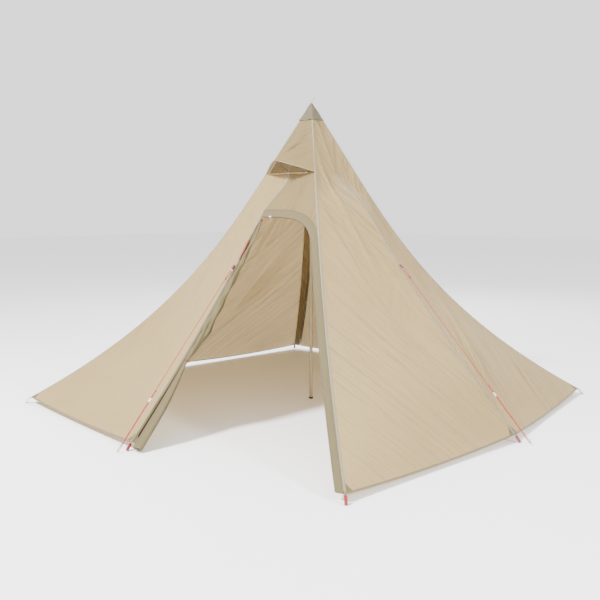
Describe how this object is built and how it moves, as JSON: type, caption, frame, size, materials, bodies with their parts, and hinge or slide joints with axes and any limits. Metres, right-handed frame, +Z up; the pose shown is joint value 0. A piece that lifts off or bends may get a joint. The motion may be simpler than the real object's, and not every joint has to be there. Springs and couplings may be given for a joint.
{
  "type": "single-pole tent",
  "caption": "Floorless pyramid tent of sewn fabric panels on a centre pole, with rolled and closed zip doors, vent hoods, guylines and stake loops.",
  "frame": {"origin": "on the ground under the centre pole's foot", "axes": "+Z up, -Y towards the front ridge, whose right-hand panel holds the open door, +X to the right seen from the front"},
  "size_m": [3.203, 3.203, 2.0371],
  "materials": {
    "canopy_fabric": "plain-weave sand-coloured coated polyester, matt",
    "trim_fabric": "grey-green coated reinforcement cloth, matt",
    "net": "fine insect net",
    "webbing": "woven red webbing",
    "guy_cord": "braided red guy cord",
    "zip_tape": "coil zip",
    "pole_alloy": "anodised aluminium tube",
    "ring_steel": "plain steel ring",
    "stay_plastic": "dark grey moulded rod",
    "pale_plastic": "pale grey moulded plastic",
    "rubber": "black moulded rubber"
  },
  "bodies": {
    "canopy": {"right_front_panel": "canopy_fabric", "right_back_panel": "canopy_fabric", "back_right_panel": "canopy_fabric", "left_back_panel": "canopy_fabric", "left_front_panel": "canopy_fabric", "front_left_panel": "canopy_fabric", "front_doorway_panel": "canopy_fabric", "back_doorway_panel": "canopy_fabric", "front_zip_track": "zip_tape", "back_zip_track": "zip_tape", "front_hood": "canopy_fabric", "back_hood": "canopy_fabric", "front_vent_net": "net", "back_vent_net": "net", "apex_cap": "trim_fabric", "pole_cup": "trim_fabric", "guy_anchor_front": "webbing", "guy_ring_front": "ring_steel", "guyline_front": "guy_cord", "guy_anchor_right": "webbing", "guy_ring_right": "ring_steel", "guyline_right": "guy_cord", "guy_anchor_back": "webbing", "guy_ring_back": "ring_steel", "guyline_back": "guy_cord", "guy_anchor_left": "webbing", "guy_ring_left": "ring_steel", "guyline_left": "guy_cord"},
    "pole": {"pole_section_1": "pole_alloy", "pole_section_2": "pole_alloy", "pole_section_3": "pole_alloy", "pole_section_4": "pole_alloy", "pole_foot": "rubber", "pole_tip": "rubber", "shock_cord": "rubber"},
    "front_door": {"front_door_roll": "canopy_fabric", "door_tie": "webbing", "door_toggle": "webbing"},
    "back_door": {"back_door": "canopy_fabric"},
    "front_stay": {"front_hood_stay": "stay_plastic"},
    "front_slider": {"front_zip_slider": "pale_plastic"},
    "front_pull": {"front_zip_pull": "webbing"},
    "back_stay": {"back_hood_stay": "stay_plastic"},
    "back_slider": {"back_zip_slider": "pale_plastic"},
    "back_pull": {"back_zip_pull": "pale_plastic"},
    "tensioner_front": {"tensioner_front": "pale_plastic"},
    "tensioner_right": {"tensioner_right": "pale_plastic"},
    "tensioner_back": {"tensioner_back": "pale_plastic"},
    "tensioner_left": {"tensioner_left": "pale_plastic"},
    "stake_loop_front": {"stake_loop_front": "webbing"},
    "stake_loop_right": {"stake_loop_right": "webbing"},
    "stake_loop_back": {"stake_loop_back": "webbing"},
    "stake_loop_left": {"stake_loop_left": "webbing"},
    "stake_loop_front_right": {"stake_loop_front_right": "webbing"},
    "stake_loop_back_right": {"stake_loop_back_right": "webbing"},
    "stake_loop_back_left": {"stake_loop_back_left": "webbing"},
    "stake_loop_front_left": {"stake_loop_front_left": "webbing"},
    "hang_loop": {"hang_loop": "pale_plastic"}
  },
  "joints": [
    {"name": "pole_swing", "type": "hinge", "parent": "canopy", "child": "pole", "pos_m": [0, 0, 1.95], "axis": [1, 0, 0], "range_deg": [-12, 12]},
    {"name": "front_door_swing", "type": "hinge", "parent": "canopy", "child": "front_door", "pos_m": [0, -0.48784, 1.256], "axis": [0, -0.6435, -0.7655], "range_deg": [0, 30]},
    {"name": "back_door_swing", "type": "hinge", "parent": "canopy", "child": "back_door", "pos_m": [0, 0.48784, 1.256], "axis": [0, 0.6435, -0.7655], "range_deg": [0, 70]},
    {"name": "front_stay_fold", "type": "hinge", "parent": "canopy", "child": "front_stay", "pos_m": [0, -0.3488, 1.60144], "axis": [-1, 0, 0], "range_deg": [0, 80]},
    {"name": "back_stay_fold", "type": "hinge", "parent": "canopy", "child": "back_stay", "pos_m": [0, 0.3488, 1.60144], "axis": [1, 0, 0], "range_deg": [0, 80]},
    {"name": "front_slider_run", "type": "slide", "parent": "canopy", "child": "front_slider", "axis": [0.9278, 0.3729, -0.0058], "range_m": [-0.045, 0.005]},
    {"name": "back_slider_run", "type": "slide", "parent": "canopy", "child": "back_slider", "axis": [0.6102, -0.6018, 0.5152], "range_m": [0, 0.15]},
    {"name": "front_pull_swing", "type": "hinge", "parent": "front_slider", "child": "front_pull", "pos_m": [0.06478, -0.47561, 1.25809], "axis": [-1, 0, 0], "range_deg": [0, 60]},
    {"name": "back_pull_swing", "type": "hinge", "parent": "back_slider", "child": "back_pull", "pos_m": [-1.17848, 1.23417, 0.11323], "axis": [-0.9881, -0.1539, 0], "range_deg": [-35, 70]},
    {"name": "tensioner_front_slide", "type": "slide", "parent": "canopy", "child": "tensioner_front", "axis": [0, -0.6776, -0.7354], "range_m": [-0.25, 0.15]},
    {"name": "tensioner_right_slide", "type": "slide", "parent": "canopy", "child": "tensioner_right", "axis": [0.6776, 0, -0.7354], "range_m": [-0.25, 0.15]},
    {"name": "tensioner_back_slide", "type": "slide", "parent": "canopy", "child": "tensioner_back", "axis": [0, 0.6776, -0.7354], "range_m": [-0.25, 0.15]},
    {"name": "tensioner_left_slide", "type": "slide", "parent": "canopy", "child": "tensioner_left", "axis": [-0.6776, 0, -0.7354], "range_m": [-0.25, 0.15]},
    {"name": "stake_loop_front_flop", "type": "hinge", "parent": "canopy", "child": "stake_loop_front", "pos_m": [0, -1.513, 0.03834], "axis": [-1, 0, 0], "range_deg": [-20, 50]},
    {"name": "stake_loop_right_flop", "type": "hinge", "parent": "canopy", "child": "stake_loop_right", "pos_m": [1.513, 0, 0.03834], "axis": [0, -1, 0], "range_deg": [-20, 50]},
    {"name": "stake_loop_back_flop", "type": "hinge", "parent": "canopy", "child": "stake_loop_back", "pos_m": [0, 1.513, 0.03834], "axis": [1, 0, 0], "range_deg": [-20, 50]},
    {"name": "stake_loop_left_flop", "type": "hinge", "parent": "canopy", "child": "stake_loop_left", "pos_m": [-1.513, 0, 0.03834], "axis": [0, 1, 0], "range_deg": [-20, 50]},
    {"name": "stake_loop_front_right_flop", "type": "hinge", "parent": "canopy", "child": "stake_loop_front_right", "pos_m": [1.34562, -1.34562, 0.03834], "axis": [-0.7071, -0.7071, 0], "range_deg": [-20, 90]},
    {"name": "stake_loop_back_right_flop", "type": "hinge", "parent": "canopy", "child": "stake_loop_back_right", "pos_m": [1.34562, 1.34562, 0.03834], "axis": [0.7071, -0.7071, 0], "range_deg": [-20, 90]},
    {"name": "stake_loop_back_left_flop", "type": "hinge", "parent": "canopy", "child": "stake_loop_back_left", "pos_m": [-1.34562, 1.34562, 0.03834], "axis": [0.7071, 0.7071, 0], "range_deg": [-20, 90]},
    {"name": "stake_loop_front_left_flop", "type": "hinge", "parent": "canopy", "child": "stake_loop_front_left", "pos_m": [-1.34562, -1.34562, 0.03834], "axis": [-0.7071, 0.7071, 0], "range_deg": [-20, 90]},
    {"name": "hang_loop_flop", "type": "hinge", "parent": "canopy", "child": "hang_loop", "pos_m": [0, 0, 2.0045], "axis": [-0.6561, 0.7547, 0], "range_deg": [0, 45]}
  ]
}
